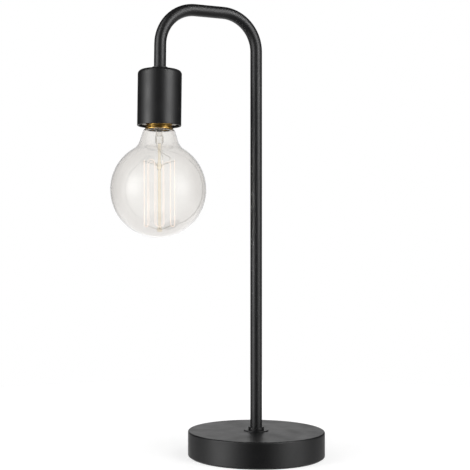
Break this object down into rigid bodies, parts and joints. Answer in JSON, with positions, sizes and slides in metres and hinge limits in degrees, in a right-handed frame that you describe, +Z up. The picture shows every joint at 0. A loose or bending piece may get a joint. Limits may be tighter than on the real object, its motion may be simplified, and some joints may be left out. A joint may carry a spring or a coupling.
{
  "type": "pipe table lamp",
  "caption": "Table lamp of one bent black pipe on a weighted round base, with a cup-shaped lampholder and a clear globe lamp hanging from the hook.",
  "frame": {"origin": "on the table under the stem's axis, at the middle of the base's flat underside", "axes": "+Z up along the stem, the arm and head reach towards -X, and the lead's inlet faces +X"},
  "size_m": [0.2262, 0.14, 0.4575],
  "materials": {
    "black_coat": "satin black powder coat on steel",
    "cast_iron": "rough grey casting",
    "zinc_plate": "bright zinc plate",
    "foam_pad": "black foam rubber sheet",
    "black_rubber": "moulded black rubber",
    "white_nylon": "natural white nylon",
    "brass": "plain turned brass",
    "brass_cap": "rolled brass sheet, lacquered",
    "nickel": "nickel plate on brass",
    "porcelain": "white glazed porcelain",
    "brown_insulation": "brown silicone",
    "blue_insulation": "blue silicone",
    "green_insulation": "green and yellow silicone",
    "clear_glass": "clear blown glass",
    "black_glass": "black glass insulator",
    "wire_metal": "nickel and molybdenum wire",
    "filament_wire": "coiled tungsten wire, pale"
  },
  "bodies": {
    "stand": {"base_cover": "black_coat", "base_weight": "cast_iron", "base_plate": "zinc_plate", "base_pad": "foam_pad", "plate_screws": "zinc_plate", "cable_bush": "black_rubber", "terminal_block": "white_nylon", "terminal_sleeves": "brass", "clamp_screws": "zinc_plate", "block_screw": "zinc_plate", "stem_pipe": "black_coat", "live_wire": "brown_insulation", "neutral_wire": "blue_insulation", "earth_wire": "green_insulation", "foot_washer": "black_coat", "foot_collar": "black_coat", "foot_nipple": "brass", "foot_lock_washer": "zinc_plate", "foot_nut": "zinc_plate", "lamp_cup": "black_coat", "holder_bracket": "zinc_plate", "bracket_screws": "zinc_plate", "earth_screw": "brass", "holder_body": "porcelain", "holder_shell": "nickel", "centre_contact": "brass", "holder_rivets": "brass", "terminal_posts": "brass", "post_screws": "zinc_plate", "head_collar": "black_coat", "head_nipple": "brass", "head_lock_washer": "zinc_plate", "head_nut": "zinc_plate"},
    "bulb": {"bulb_glass": "clear_glass", "bulb_cap": "brass_cap", "cap_insulator": "black_glass", "cap_contact": "brass_cap", "bulb_stem": "clear_glass", "filament_rod": "clear_glass", "upper_hooks": "wire_metal", "lower_hooks": "wire_metal", "lead_wires": "wire_metal", "filament": "filament_wire"}
  },
  "joints": [
    {"name": "bulb_removal", "type": "slide", "parent": "stand", "child": "bulb", "axis": [-0.014, 0, -0.9999], "range_m": [0, 0.035]}
  ]
}
